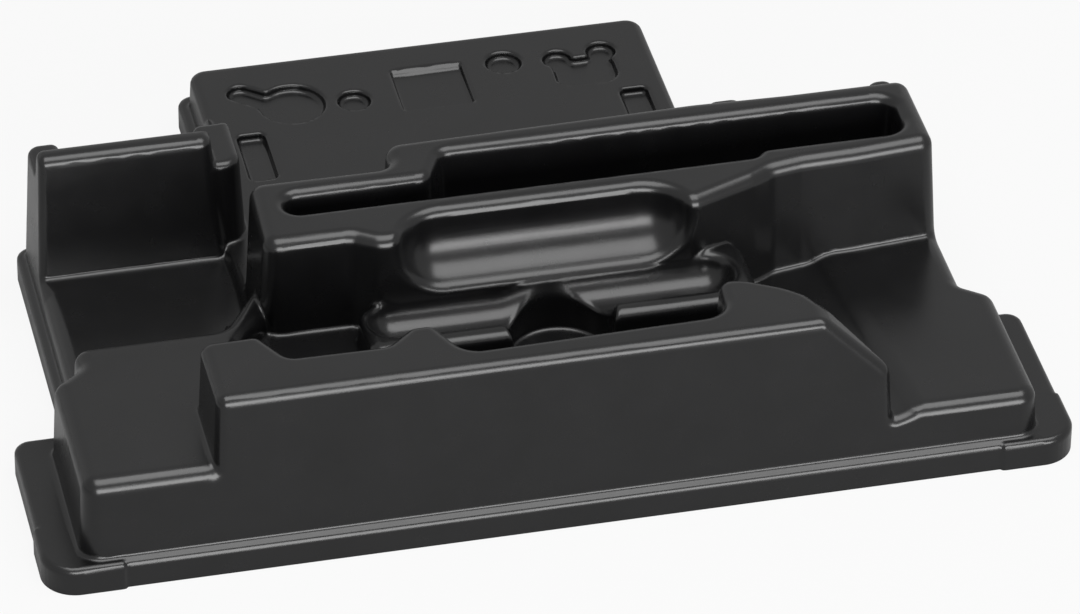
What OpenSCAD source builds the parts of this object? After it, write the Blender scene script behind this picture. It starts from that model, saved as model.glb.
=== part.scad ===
// Tool case insert: one sheet of black plastic, drawn over a mould.
// It has a flange with a turned-down skirt, low shelves, three tall blocks
// that hold a tool between them, and a rear panel with shallow recesses.
// Every wall leans by the draft angle, and every edge is rounded.
// X runs along the width, Y from the front edge to the back, Z up.

/* [Flange] */
// Width of the flange over the front ears
flange_w = 375; // [350:1:420]
// Depth of the whole insert, from the front edge to the back edge
flange_d = 281; // [276:1:320]
// Height of the flange above the surface that the skirt stands on
flange_h = 11; // [8:0.5:14]
// Depth of the wide front part, up to the notch on each side
ear_d = 79; // [74:1:90]
// Width of the flange behind the notches
waist_w = 335; // [330:1:345]
// Depth up to which the flange keeps its waist width
waist_d = 196; // [190:1:205]
// Left edge of the tail behind the waist, from the middle
tail_left = 91; // [86:1:110]
// Right edge of the tail behind the waist, from the middle
tail_right = 94.5; // [90:0.5:110]
// Radius of the two front corners of the flange
flange_corner_r = 13; // [8:1:20]
// Radius of the other outer corners of the flange
ear_corner_r = 6; // [5:0.5:9]
// How far the corner pads of the skirt stand out
pad_out = 1; // [0.5:0.1:2]
// Length of each corner pad along the front
pad_w = 28; // [20:1:40]

/* [Sheet] */
// Thickness of the sheet
sheet_t = 2; // [1.2:0.1:2.4]
// Draft angle of the walls
draft_deg = 3; // [1:0.25:4]
// Rounding of the upper edges
edge_r = 3; // [2.5:0.25:3.5]
// Rounding of the edge between the flange and its skirt
skirt_edge_r = 2.5; // [2.2:0.1:3]

/* [Walls on the flange] */
// Flange showing in front of the front wall
rim_front = 3.2; // [2:0.1:8]
// Flange showing beside the side walls of the front part
rim_side = 13; // [10:0.5:20]
// Flange showing beside the walls behind the notches
rim_waist = 3; // [2.5:0.5:6]
// Flange showing behind the rear panel
rim_back = 4; // [3:0.5:8]
// Depth from the front edge at which the side walls step inwards
side_step_y = 69; // [60:1:72]
// Length of that step along the depth
side_step_d = 8; // [5:0.5:10]

/* [Shelves] */
// Height of the sunk shelf in front of the tall left block
well_h = 22.5; // [19:0.5:24]
// Height of the floor between the blocks and of the rear panel
panel_h = 25.5; // [25:0.5:28]
// Height of the right shelf
right_shelf_h = 29; // [28.5:0.5:34]
// Height of the raised floor at the left end of the channel
step_floor_h = 32; // [29:0.5:36]
// Height of the left shelf
left_shelf_h = 43; // [38:0.5:50]
// Back edge of the left shelf, from the front edge of the flange
left_shelf_back = 87.5; // [84:0.5:92]
// Right end of the straight back edge of the left shelf, left of the middle
left_shelf_turn = 108; // [104:1:116]
// Right edge of the sunk shelf, left of the middle
well_right = 94; // [93:0.5:100]
// Front end of the ramp up to the right shelf, right of the middle
ramp_front = 129; // [127:0.5:134]
// Back end of the ramp up to the right shelf, right of the middle
ramp_back = 119; // [114:0.5:124]
// Width of the ramp up to the right shelf
ramp_w = 6; // [4:0.5:8]

/* [Front block] */
// Height of the tall blocks
block_h = 71.5; // [68:0.5:78]
// Left end of the front block, left of the middle
front_left = 124.5; // [120:0.5:130]
// Right end of the top of the front block, right of the middle
front_right = 95; // [90:0.5:100]
// Back edge of the front block at its left end
front_back = 42.5; // [41:0.5:44]
// Tip of the sloping right end, right of the middle
nose_x = 118; // [110:0.5:122]
// Height of the tip of the sloping right end
nose_h = 47.5; // [42:0.5:54]
// Back edge of the long cut-out, at its deepest
cut_y = 19.5; // [17:0.5:21]
// Left end of the long cut-out, left of the middle
cut_left = 33; // [28:0.5:35]
// Right end of the long cut-out, right of the middle
cut_right = 60.5; // [56:0.5:63]
// Back edge of the left cut-out
left_cut_y = 28; // [26:0.5:30]
// Left end of the left cut-out, left of the middle
left_cut_left = 95.5; // [92:0.5:98]
// Right end of the left cut-out, left of the middle
left_cut_right = 60; // [56:0.5:66]
// Back edge of the finger between the two cut-outs
finger_y = 36; // [34:0.5:38]

/* [Middle block] */
// Left end of the middle block, left of the middle
mid_left = 91; // [89:0.5:92]
// Front edge of its left part
mid_front_left = 95; // [93:0.5:98]
// Front edge of its middle part
mid_front = 89; // [88:0.5:90]
// Front edge of its right part
mid_front_right = 105.5; // [104.5:0.5:107]
// Back edge of its left part
mid_back_left = 134.5; // [133.5:0.5:136]
// Back edge of its right part
mid_back = 149.5; // [148.5:0.5:151]
// Where the back edge steps, left of the middle
mid_step = 36.5; // [34:0.5:40]
// Where the right end of the middle part starts, right of the middle
mid_turn = 65; // [64:0.5:68]
// Where the right part starts, right of the middle
mid_right_start = 91; // [88:0.5:94]
// Thickness of the walls round the slot at the top
slot_wall = 8.5; // [8:0.25:9]
// Width of the narrow part of the slot
slot_narrow = 13.5; // [12.5:0.5:14]
// Left end of the slot, left of the middle
slot_left = 78.5; // [74:0.5:80]
// Where the slot widens, left of the middle
slot_widen = 20; // [16:0.5:22]
// Where the front edge of the slot steps back, right of the middle
slot_step = 94.5; // [90:0.5:98]
// Length of that step across the slot
slot_step_d = 4; // [3:0.25:5]
// Height of the floor of the slot
slot_floor_h = 27; // [25:0.5:40]

/* [Nest] */
// Radius of the capsule-shaped nest in the front of the middle block
nest_r = 17.5; // [16:0.5:18]
// Left end of the nest, left of the middle
nest_left = 42.5; // [40:0.5:44]
// Right end of the nest, right of the middle
nest_right = 64.5; // [60:0.5:65]
// Axis of the nest, from the front edge of the flange
nest_y = 85.5; // [84:0.5:87]
// Height of the axis of the nest
nest_h = 64.5; // [63.5:0.5:65.5]
// Width by which the rim of the nest opens out
nest_rim = 3; // [2:0.25:3.5]
// Radius of the trough below the nest
trough_r = 10.5; // [10:0.25:11]
// Axis of the trough, from the front edge of the flange
trough_y = 77.5; // [77:0.5:78.5]
// Height of the bench round the left half of the trough
bench_h = 45.5; // [44.5:0.5:46]
// How much higher the right half of the bench and its trough lie
bench_step = 2.5; // [1.5:0.25:3]
// Thickness of the rim before the trough
bench_wall = 8.5; // [8:0.25:9.5]
// Left end of the bench, left of the middle
bench_left = 59; // [57:0.5:60]
// Right end of the bench, right of the middle
bench_right = 84.5; // [82:0.5:86]
// Left end of the straight trough, left of the middle
trough_left = 46; // [44:0.5:48]
// Right end of the straight trough, right of the middle
trough_right = 67; // [64:0.5:69]
// Radius of the round bay in the front of the bench
bay_r = 19.8; // [18:0.2:20]
// Middle of the round bay, right of the middle
bay_x = 11; // [6:0.5:16]
// Middle of the round bay, from the front edge of the flange
bay_y = 66; // [65:0.5:67]

/* [Left block] */
// Depth of the left block, from the front edge of its ridge to the wall behind it
ridge_rear = 31; // [30:0.5:32.5]
// Depth of the top of the ridge
ridge_d = 8.5; // [7.5:0.5:10]
// Right end of the ridge, left of the middle
ridge_right = 101; // [100:0.5:104]
// How far the front of the ridge leans back over its height
ridge_lean = 7; // [5:0.5:8]
// Height of the step behind the ridge
back_step_h = 50; // [44:0.5:53]
// Height of the posts behind the ridge
post_h = 60; // [57:0.5:62]
// Width of the left post
post_left_w = 12.5; // [11:0.5:16]
// Width of the right post
post_right_w = 13.5; // [12.5:0.5:14.5]
// How far the front edge of the right post lies behind that of the ridge
post_inset = 2; // [1:0.5:4]

/* [Bumps behind the middle block] */
// Height of the bumps
bump_h = 60; // [56:0.5:64]
// How far the bumps reach behind the middle block at their top
bump_d = 19; // [17:0.5:21]
// Middle of the wide bump, right of the middle
bump_x = 95.5; // [92:0.5:99]
// Width of the wide bump
bump_w = 14; // [12:0.5:16]
// Middle of the narrow bump, right of the middle
bump_2_x = 153; // [148:0.5:153]
// Width of the narrow bump
bump_2_w = 11; // [10.5:0.5:13]

/* [Rear panel recesses] */
// Depth of the keyhole, the lobed recess and the two round holes
recess_d = 5; // [3:0.5:8]
// Depth of the square recess
square_d = 2.5; // [1.5:0.5:4]
// Depth of the two long pockets
pocket_d = 6; // [4:0.5:10]
// Rounding of the recess rims
rim_r = 1.2; // [0.8:0.1:1.4]
// Side of the square recess
square_s = 27; // [22:0.5:30]
// Middle of the square recess, right of the middle
square_x = 2.5; // [0:0.5:4]
// Middle of the square recess, from the back of the panel
square_y = 30; // [26:0.5:34]
// Radius of the large lobe of the keyhole
key_r = 12.5; // [10:0.5:13.5]
// Radius of the small lobe of the keyhole
key_small_r = 5; // [4:0.5:6]
// Middle of the large lobe, left of the middle
key_x = 52; // [50:0.5:54]
// Middle of the large lobe, from the back of the panel
key_y = 30.5; // [27:0.5:34]
// Distance from the large to the small lobe, to the left
key_dx = 18; // [16:0.5:20]
// Distance from the large to the small lobe, to the back
key_dy = 11; // [9:0.5:12]
// Radius of the left round hole
hole_r = 6.2; // [5:0.2:7]
// Middle of the left round hole, left of the middle
hole_x = 28.5; // [27:0.5:30]
// Middle of the left round hole, from the back of the panel
hole_y = 33; // [30:0.5:36]
// Radius of the right round hole
hole_2_r = 6.8; // [5:0.2:7.4]
// Middle of the right round hole, right of the middle
hole_2_x = 32.5; // [31:0.5:34]
// Middle of the right round hole, from the back of the panel
hole_2_y = 20; // [17:0.5:24]
// Radius of the dimple in the floor of each round hole
dimple_r = 3; // [2:0.2:3.4]
// Depth of the dimples
dimple_d = 3; // [1:0.5:4]
// Middle of the lobed recess, right of the middle
lobe_x = 62; // [60:0.5:64]
// Middle of the lobed recess, from the back of the panel
lobe_y = 29; // [28:0.5:32]
// Radius of the two rear lobes
lobe_r = 5.5; // [4.5:0.5:6]
// Distance between the two rear lobes
lobe_gap = 17.5; // [16:0.5:20]
// Half width of the body of the lobed recess
lobe_half = 12; // [11:0.5:13]
// Width of the two long pockets
pocket_w = 10.5; // [9:0.5:12]
// Length of the two long pockets
pocket_len = 30; // [24:1:32]
// Back end of the long pockets, from the back of the panel
pocket_y = 47; // [45:0.5:50]
// Middle of the left long pocket, left of the middle
pocket_left = 71.5; // [70:0.5:74]
// Middle of the right long pocket, right of the middle
pocket_right = 77; // [74:0.5:79]

/* [Hidden] */

lean = tan(draft_deg);
eps = 0.5;
// Plan radii of the block corners: convex, concave and small
corner_r = 6;
inner_r = 5;
small_r = 4.6;
// Distance by which the walls have leaned in at height z. Where the wall of a
// low block runs into that of a taller one, it lies k steps of 0.1 behind it.
function in_by(z, k = 0) = lean * (z - flange_h) + 0.1 * k;

// Lines that the walls stand on, all at the height of the flange
front_y = pad_out + rim_front;
side_x = flange_w / 2 - rim_side;
waist_x = waist_w / 2 - rim_waist;
waist_back = waist_d - rim_waist + 1.5;
back_y = flange_d - rim_back;
ridge_front = waist_back - ridge_rear;
// The rear panel at its top
panel_back = back_y - in_by(panel_h);
panel_left = tail_left - rim_back + 0.5 - in_by(panel_h);
panel_right = tail_right - rim_back + 0.5 - in_by(panel_h);

// A corner point [x, y, r] as the points of its arc.
function unit(v) = v / norm(v);
function flat(p) = [p.x, p.y];
function arc(a, b, c, n) =
    let (u = unit(flat(a) - flat(b)), v = unit(flat(c) - flat(b)), half = acos(u * v) / 2,
         mid = flat(b) + unit(u + v) * b[2] / sin(half),
         s = flat(b) + u * b[2] / tan(half) - mid, e = flat(b) + v * b[2] / tan(half) - mid,
         a0 = atan2(s.y, s.x), d = atan2(e.y, e.x) - a0,
         turn = d > 180 ? d - 360 : d < -180 ? d + 360 : d)
    b[2] == 0 ? [flat(b)] : [for (i = [0:n]) mid + b[2] * [cos(a0 + turn * i / n), sin(a0 + turn * i / n)]];
// An outline with its corners rounded, counter-clockwise.
function rounded(p, n = 3) =
    let (m = len(p)) [for (i = [0:m - 1]) each arc(p[(i + m - 1) % m], p[i], p[(i + 1) % m], n)];
// An outline moved outwards by d.
function grown(p, d) =
    let (m = len(p))
    [for (i = [0:m - 1])
        let (e = unit(p[i] - p[(i + m - 1) % m]), f = unit(p[(i + 1) % m] - p[i]),
             g = [e.y, -e.x], h = [f.y, -f.x])
        p[i] + d * (g + h) / (1 + g * h)];
// A solid through outlines with equally many points, one above the other.
module loft(zs, rings) {
    m = len(rings[0]);
    k = len(rings);
    polyhedron(
        points = [for (j = [0:k - 1]) for (q = rings[j]) [q.x, q.y, zs[j]]],
        faces = concat(
            [[for (i = [0:m - 1]) i]],
            [for (j = [0:k - 2]) for (i = [0:m - 1])
                let (n = (i + 1) % m) [j * m + i, (j + 1) * m + i, (j + 1) * m + n, j * m + n]],
            [[for (i = [m - 1:-1:0]) (k - 1) * m + i]]));
}

// A block with drafted walls and a rounded upper edge. Its outline is given at
// the height h; t shrinks it all round and at the top, for the inside of the sheet.
module block(p, h, t = 0, z0 = 4, r = edge_r) {
    q = rounded(p);
    s = max(r - t, 0.6);
    n = t > 0 ? 1 : 2;
    top = [for (i = [0:n]) h - t - s + s * sin(90 * i / n)];
    loft(concat([z0], top),
         concat([grown(q, lean * (h - z0) - t)],
                [for (i = [0:n]) grown(q, lean * (h - top[i]) - t - s * (1 - cos(90 * i / n)))]));
}

// A pocket with drafted walls and a rounded rim, down from the height h to the
// floor; t grows it all round and below.
module pocket(p, h, floor_h, t = 0, r = edge_r, n = 3) {
    q = rounded(p, n);
    k = t > 0 ? 1 : 2;
    s = t > 0 ? 0.6 : r;
    rim = [for (i = [0:k]) h - s * cos(90 * i / k)];
    loft(concat([floor_h - t], rim, [h + 1]),
         concat([grown(q, t - lean * (h - floor_h))],
                [for (i = [0:k]) grown(q, t + s * (1 - sin(90 - 90 * i / k)) - lean * (h - rim[i]))],
                [grown(q, t + s)]));
}

// The flange, solid down to the surface, with its corner pads.
module flange(t) {
    p = [[-flange_w / 2, pad_out, flange_corner_r], [flange_w / 2, pad_out, flange_corner_r],
         [flange_w / 2, ear_d, ear_corner_r], [waist_w / 2, ear_d, small_r],
         [waist_w / 2, waist_d, ear_corner_r], [tail_right, waist_d, small_r],
         [tail_right, flange_d, ear_corner_r], [-tail_left, flange_d, ear_corner_r],
         [-tail_left, waist_d, small_r], [-waist_w / 2, waist_d, ear_corner_r],
         [-waist_w / 2, ear_d, small_r], [-flange_w / 2, ear_d, ear_corner_r]];
    base(p, t);
    for (k = [0, 1])
        mirror([k, 0, 0])
            base([[-flange_w / 2 - pad_out, 0, flange_corner_r], [-flange_w / 2 + pad_w, 0, 0],
                  [-flange_w / 2 + pad_w, pad_w, 0], [-flange_w / 2 - pad_out, pad_w, 0]], t);
}
// The skirt has upright walls and a rounded upper edge.
module base(p, t) {
    q = rounded(p, 5);
    s = max(skirt_edge_r - t, 0.4);
    n = t > 0 ? 1 : 2;
    top = [for (i = [0:n]) flange_h - t - s + s * sin(90 * i / n)];
    loft(concat([t > 0 ? -1 : 0], top),
         concat([grown(q, -t)], [for (i = [0:n]) grown(q, -t - s * (1 - cos(90 * i / n)))]));
}

// The low deck that fills the whole outline inside the flange, at the level of
// the sunk shelf, and the floor on it that runs on into the rear panel.
module decks(t) {
    a = in_by(well_h, 4);
    block([[-side_x + a, front_y + a, corner_r], [side_x - a, front_y + a, corner_r],
           [side_x - a, side_step_y, corner_r], [waist_x - a, side_step_y + side_step_d, inner_r],
           [waist_x - a, waist_back - a, corner_r], [-waist_x + a, waist_back - a, corner_r],
           [-waist_x + a, side_step_y + side_step_d, inner_r], [-side_x + a, side_step_y, corner_r]],
          well_h, t);
    b = in_by(panel_h, 3);
    block([[-well_right, front_back - 8, 0], [waist_x - b, front_back - 8, 0],
           [waist_x - b, waist_back - b, corner_r], [panel_right, waist_back - b, inner_r],
           [panel_right, panel_back, corner_r], [-panel_left, panel_back, corner_r],
           [-panel_left, waist_back - b, 0], [-well_right, waist_back - b - 22, 0]],
          panel_h, t, r = 2.4);
}

// The shelf left of the front block, which runs on behind it up to the middle block.
module left_shelf(t) {
    a = in_by(left_shelf_h, 2);
    block([[-side_x + a, front_y + a, corner_r], [-front_left + 20, front_y + a, 0],
           [-front_left + 20.5, left_shelf_back - 9, 0], [-mid_left + 4, mid_front_left + 0.5, 0],
           [-mid_left + 8, mid_front_left + 19, 0], [-mid_left + 1, mid_front_left + 19, 0],
           [-left_shelf_turn, left_shelf_back, corner_r + 4], [-waist_x + a, left_shelf_back, corner_r],
           [-waist_x + a, side_step_y + side_step_d, inner_r], [-side_x + a, side_step_y, corner_r]],
          left_shelf_h, t);
    // The raised floor at the left end of the channel
    block([[-front_left + 20, front_back - 12, 0], [-bench_left + 12, front_back - 12, 0],
           [-bench_left + 12, mid_front_left + 10, 0], [-front_left + 20, mid_front_left + 10, 0]],
          step_floor_h, t);
}

// The shelf right of the front block, with the ramp up to it.
module right_shelf(t) {
    a = in_by(right_shelf_h, 2);
    y0 = front_y + a;
    y1 = mid_front_right + 6;
    p = [[ramp_front, y0, 0], [side_x - a, y0, corner_r], [side_x - a, side_step_y, corner_r],
         [waist_x - a, side_step_y + side_step_d, inner_r], [waist_x - a, y1, 0], [ramp_back, y1, 0]];
    block(p, right_shelf_h, t);
    low = [[ramp_front - ramp_w, y0, 0], [ramp_front + 12, y0, 0],
           [ramp_back + 12, y1, 0], [ramp_back - ramp_w, y1, 0]];
    high = [[ramp_front, y0, 0], [ramp_front + 12, y0, 0],
            [ramp_back + 12, y1, 0], [ramp_back, y1, 0]];
    // The low floor in front of the ramp reaches to the front wall
    b = in_by(panel_h, 3);
    block([[front_right - 12, front_y + b, 0], [ramp_front + 12, front_y + b, 0],
           [ramp_front + 12, front_back, 0], [front_right - 12, front_back, 0]], panel_h, t, r = 2.4);
    loft([panel_h - 4 - t, panel_h - 0.5 - t, right_shelf_h - t],
         [grown(rounded(low), -t), grown(rounded(low), -t), grown(rounded(high), -t)]);
}

// The front block, with its cut-outs towards the channel and its sloping right end.
module front_block(t) {
    y0 = front_y + in_by(block_h);
    block([[-front_left, y0, small_r], [front_right, y0, 0], [front_right + 1.5, y0 + 14, 0],
           [front_right - 7, front_back - 9.5, 8], [cut_right + 13, front_back - 1.5, 8], [cut_right + 2, front_back - 1.5, small_r],
           [cut_right, cut_y + 1.5, 9], [-cut_left, cut_y - 1, 10], [-cut_left - 9, finger_y, small_r],
           [-left_cut_right + 10, finger_y, small_r], [-left_cut_right, left_cut_y, inner_r],
           [-left_cut_left, left_cut_y + 1, inner_r], [-left_cut_left - 8, front_back, small_r],
           [-front_left, front_back, small_r]],
          block_h, t);
    nose(t);
}
module nose(t) {
    // Corners of the nose as [x, front y, back y, z], joined round balls
    r = edge_r;
    back = front_y + 29;
    a = [for (c = [[front_right - 25, back, block_h], [front_right, front_y + 16, block_h],
                   [nose_x, front_y + 7, nose_h], [nose_x + lean * (nose_h - 15), front_y + 7, 15],
                   [front_right - 25, back + 2, 15]])
            [c[0] - r, front_y + in_by(c[2], 1) + r, c[1] - r, c[2] - r]];
    hull()
        for (c = a)
            for (y = [c[1], max(c[2], c[1] + 0.5)])
                translate([c[0], y, c[3]]) sphere(r = r - t > 0.4 ? r - t : 0.4, $fn = 16);
}

// The middle block with the long slot in its top.
module middle_block(t) {
    difference() {
        block([[-mid_left, mid_front_left, corner_r], [-bench_left, mid_front_left, 7],
               [-bench_left + 9, mid_front, 10], [mid_turn, mid_front, 8],
               [mid_right_start, mid_front_right - 6, inner_r], [mid_right_start + 16, mid_front_right - 1, 8],
               [waist_x - in_by(block_h), mid_front_right + 3, small_r],
               [waist_x - in_by(block_h), mid_back, corner_r], [-mid_step, mid_back, corner_r],
               [-mid_step, mid_back_left, inner_r], [-mid_left + 1.5, mid_back_left, small_r]],
              block_h, t);
        slot_cut(t);
    }
}
module slot_cut(t) {
    right = waist_x - in_by(block_h) - slot_wall;
    y0 = mid_back_left - slot_wall - slot_narrow;
    pocket([[-slot_left, y0, 6.1], [slot_step, y0, inner_r],
            [slot_step + 4, y0 + slot_step_d, inner_r], [right, y0 + slot_step_d, 8],
            [right, mid_back - slot_wall, 7], [-slot_widen + 3, mid_back - slot_wall, inner_r],
            [-slot_widen - 4.5, mid_back_left - slot_wall, 7], [-slot_left, mid_back_left - slot_wall, 6.1]],
           block_h, slot_floor_h, t);
}

// The seat of a round tool, from x0 to x1, with its axis at y and z.
module seat(x0, x1, y, z, r, t) {
    hull()
        for (x = [x0, x1])
            translate([x, y, z]) {
                sphere(r = r + t, $fn = 36);
                children();
            }
}
module nest_cut(t) {
    x0 = -nest_left + nest_r;
    x1 = nest_right - nest_r;
    seat(x0, x1, nest_y, nest_h, nest_r, t)
        cylinder(h = block_h - nest_h, r = nest_r + t, $fn = 36);
    // The rim opens out at the top of the block
    hull()
        for (x = [x0, x1])
            translate([x, nest_y, block_h - nest_rim])
                cylinder(h = nest_rim + 1, r1 = nest_r + t - 0.2, r2 = nest_r + nest_rim + 1 + t, $fn = 36);
}

// The bench below the nest, with the trough that runs along it and the round
// bay. The halves left and right of the bay differ in height by bench_step.
module half_bench(p, h, x0, x1, t) {
    difference() {
        block(p, h, t, r = 4);
        // The seat opens out towards the rim
        seat(x0, x1, trough_y, h - 0.5, trough_r, t)
            translate([0, 0, 1.5]) cylinder(h = 1, r = trough_r + 3 + t, $fn = 36);
        translate([bay_x, bay_y, panel_h - t])
            cylinder(h = 40, r1 = bay_r + t - 1, r2 = bay_r + t + 1, $fn = 40);
    }
}
module bench(t) {
    front = trough_y - trough_r - bench_wall;
    back = mid_front + 6;
    half_bench([[-bench_left, front, small_r], [bay_x + 4, front, 0], [bay_x + 4, back, 0],
                [-bench_left + 14, back, 0], [-bench_left, back - 11, 6]], bench_h, -trough_left, bay_x - 4, t);
    half_bench([[bay_x - 4, front, 0], [bench_right, front, small_r], [bench_right, back - 1, 6],
                [bay_x - 4, back - 1, 0]], bench_h + bench_step, bay_x + 4, trough_right, t);
}

// The tall left block: a ridge that leans back, and lower behind it a step
// between two posts.
module left_block(t) {
    a = in_by(block_h);
    h = block_h - t;
    s = max(edge_r - t, 0.6);
    back = ridge_front + ridge_d;
    top = rounded([[-waist_x + a, ridge_front, small_r], [-ridge_right, ridge_front, small_r],
                   [-ridge_right, back, 0], [-waist_x + a, back, 0]]);
    foot = rounded([[-waist_x, ridge_front - ridge_lean - 1, small_r], [-ridge_right + a, ridge_front - ridge_lean - 1, small_r],
                    [-ridge_right + a, back + a, 0], [-waist_x, back + a, 0]]);
    loft([flange_h - 4, h - s, h - 0.3 * s, h],
         [grown(foot, -t), grown(top, -t + lean * s), grown(top, -t - 0.3 * s), grown(top, -t - s)]);
    c = in_by(back_step_h, 2);
    rear = waist_back - 0.5;
    block([[-waist_x + c, ridge_front + 3, 0], [-post_x(back_step_h) - 0.1, ridge_front + 3, 0],
           [-post_x(back_step_h) - 0.1, rear - c, small_r], [-waist_x + c, rear - c, small_r]], back_step_h, t);
    d = in_by(post_h, 1);
    block([[-waist_x + d, ridge_front + 4, 0], [-waist_x + d + post_left_w, ridge_front + 4, 0],
           [-waist_x + d + post_left_w, rear - d, small_r], [-waist_x + d, rear - d, small_r]], post_h, t);
    block([[-post_x(post_h) - post_right_w, ridge_front + post_inset, 0], [-post_x(post_h), ridge_front + post_inset, small_r],
           [-post_x(post_h), rear - d, small_r], [-post_x(post_h) - post_right_w, rear - d, small_r]], post_h, t);
}
// Right side of the right post at the height z, left of the middle
function post_x(z) = ridge_right - 14.5 + lean * (z - post_h);

// The two bumps on the back of the middle block.
module bumps(t) {
    for (b = [[bump_x, bump_w], [bump_2_x, bump_2_w]])
        block([[b[0] - b[1] / 2, mid_back - 5, 0], [b[0] + b[1] / 2, mid_back - 5, 0],
               [b[0] + b[1] / 2, mid_back + bump_d, small_r], [b[0] - b[1] / 2, mid_back + bump_d, small_r]],
              bump_h, t);
}

// The recesses of the rear panel.
module recess(h, d, t) {
    translate([0, 0, h - d - t]) linear_extrude(d + t + 1) children();
}
module rim(h, t) {
    translate([0, 0, h - rim_r / 2]) linear_extrude(rim_r / 2 + 1) offset(r = rim_r / 2) children();
}
module long_pocket(x, t) {
    y = panel_back - pocket_y;
    pocket([[x - pocket_w / 2, y - pocket_len, 1.8], [x + pocket_w / 2, y - pocket_len, 1.8],
            [x + pocket_w / 2, y, 1.8], [x - pocket_w / 2, y, 1.8]], panel_h, panel_h - pocket_d, t, r = rim_r, n = 2);
}
module keyhole(t) {
    x = -key_x;
    y = panel_back - key_y;
    translate([x, y]) circle(r = key_r + t, $fn = 40);
    hull() {
        translate([x - key_dx, y + key_dy]) circle(r = key_small_r + t, $fn = 24);
        translate([x - key_dx / 2, y + key_dy / 3]) circle(r = key_small_r + t, $fn = 24);
    }
}
module lobes(t) {
    x = lobe_x;
    y = panel_back - lobe_y;
    for (k = [-1, 1])
        translate([x + k * lobe_gap / 2, y + 8 + k]) circle(r = lobe_r + t, $fn = 28);
    hull() {
        translate([x - lobe_half + 5, y - 6]) circle(r = 5 + t, $fn = 24);
        translate([x + lobe_half - 7, y - 5]) circle(r = 7 + t, $fn = 24);
        translate([x, y]) circle(r = 7 + t, $fn = 24);
    }
}
module recesses(t) {
    h = panel_h;
    recess(h, recess_d, t) keyhole(t);
    recess(h, recess_d, t) lobes(t);
    if (t == 0) {
        rim(h, t) keyhole(0);
        rim(h, t) lobes(0);
    }
    // Deeper round seat in the lobed recess
    translate([lobe_x + 6, panel_back - lobe_y - 4, h - recess_d - 1.5 - t])
        cylinder(h = 5, r = lobe_r - 0.5 + t, $fn = 28);
    for (c = [[-hole_x, hole_y, hole_r], [hole_2_x, hole_2_y, hole_2_r]])
        translate([c[0], panel_back - c[1], 0]) {
            translate([0, 0, h - recess_d - t]) cylinder(h = recess_d + t + 1, r1 = c[2] + t - 0.6, r2 = c[2] + t, $fn = 32);
            translate([0, 0, h - recess_d - dimple_d - t]) cylinder(h = dimple_d + t + 1, r1 = dimple_r + t - 0.6, r2 = dimple_r + t, $fn = 24);
            if (t == 0)
                translate([0, 0, h - rim_r]) cylinder(h = rim_r + 1, r1 = c[2], r2 = c[2] + rim_r + 1, $fn = 32);
        }
    // The square recess, with a sloping rear wall
    hull() {
        translate([square_x - square_s / 2 - t, panel_back - square_y - square_s / 2 - t, h - square_d - t])
            cube([square_s + 2 * t, square_s - square_d + 2 * t, 1]);
        translate([square_x - square_s / 2 - t, panel_back - square_y - square_s / 2 - t, h])
            cube([square_s + 2 * t, square_s + 2 * t, 1]);
    }
    long_pocket(-pocket_left, t);
    long_pocket(pocket_right, t);
}

// The whole form of one face of the sheet: t = 0 is the upper face, and
// t = sheet_t the lower one.
module form(t) {
    flange(t);
    difference() {
        decks(t);
        recesses(t);
    }
    left_shelf(t);
    right_shelf(t);
    front_block(t);
    difference() {
        union() {
            middle_block(t);
            bench(t);
        }
        nest_cut(t);
    }
    left_block(t);
    bumps(t);
}

module insert() {
    color([0.14, 0.14, 0.15])
        translate([0, -flange_d / 2, 0])
            difference() {
                form(0);
                form(sheet_t);
            }
}

insert();
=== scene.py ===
"""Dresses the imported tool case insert: one drawn sheet of satin black plastic.

The CAD part has the real form with few faces. This script makes the same form
again as a smooth sheet: a field tells how far each point lies from the form,
with every upper edge rolled over and every foot filleted, and the sheet's two
faces are meshed from it. All lengths here are in millimetres, measured as in
the part: X from the middle, Y from the front edge of the flange, Z up.
"""

import math

import bmesh
import bpy
import numpy as np
from mathutils import Matrix, Vector


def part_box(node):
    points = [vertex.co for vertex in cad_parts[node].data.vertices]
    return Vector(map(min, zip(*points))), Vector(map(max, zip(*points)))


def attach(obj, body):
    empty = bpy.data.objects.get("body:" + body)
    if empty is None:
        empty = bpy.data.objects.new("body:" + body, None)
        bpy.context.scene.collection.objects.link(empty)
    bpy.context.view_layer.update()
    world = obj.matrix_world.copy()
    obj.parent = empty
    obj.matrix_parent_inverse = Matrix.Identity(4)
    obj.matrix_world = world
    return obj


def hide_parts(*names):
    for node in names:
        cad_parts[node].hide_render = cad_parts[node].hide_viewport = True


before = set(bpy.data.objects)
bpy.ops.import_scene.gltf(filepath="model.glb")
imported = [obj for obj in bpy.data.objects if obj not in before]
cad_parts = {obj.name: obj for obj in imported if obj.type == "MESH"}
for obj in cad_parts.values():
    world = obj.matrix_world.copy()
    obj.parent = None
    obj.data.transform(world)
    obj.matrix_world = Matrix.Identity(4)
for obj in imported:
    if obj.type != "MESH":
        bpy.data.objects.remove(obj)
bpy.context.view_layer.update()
NODE = "insert"
MM = 0.001

# ---------------------------------------------------------------- dimensions
low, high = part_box(NODE)
FLANGE_D = (high.y - low.y) / MM  # depth of the whole insert
PAD_OUT = 1.0  # how far the corner pads of the skirt stand out
FLANGE_W = (high.x - low.x) / MM - 2 * PAD_OUT  # width over the front ears
BLOCK_H = high.z / MM  # height of the tall blocks
PLAN_MIDDLE = FLANGE_D / 2  # the frame's origin, from the front edge

# The flange: two ears at the front, a waist, and a tail that carries the rear panel
FLANGE_H = 11.0
EAR_D, WAIST_W, WAIST_D = 79.0, 335.0, 196.0
TAIL_LEFT, TAIL_RIGHT = 91.0, 94.5  # the sides of the tail, from the middle
PAD_W = 28.0  # width and depth of a corner pad
PAD_FILLET_R = 0.6  # where a pad meets the flange

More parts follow.
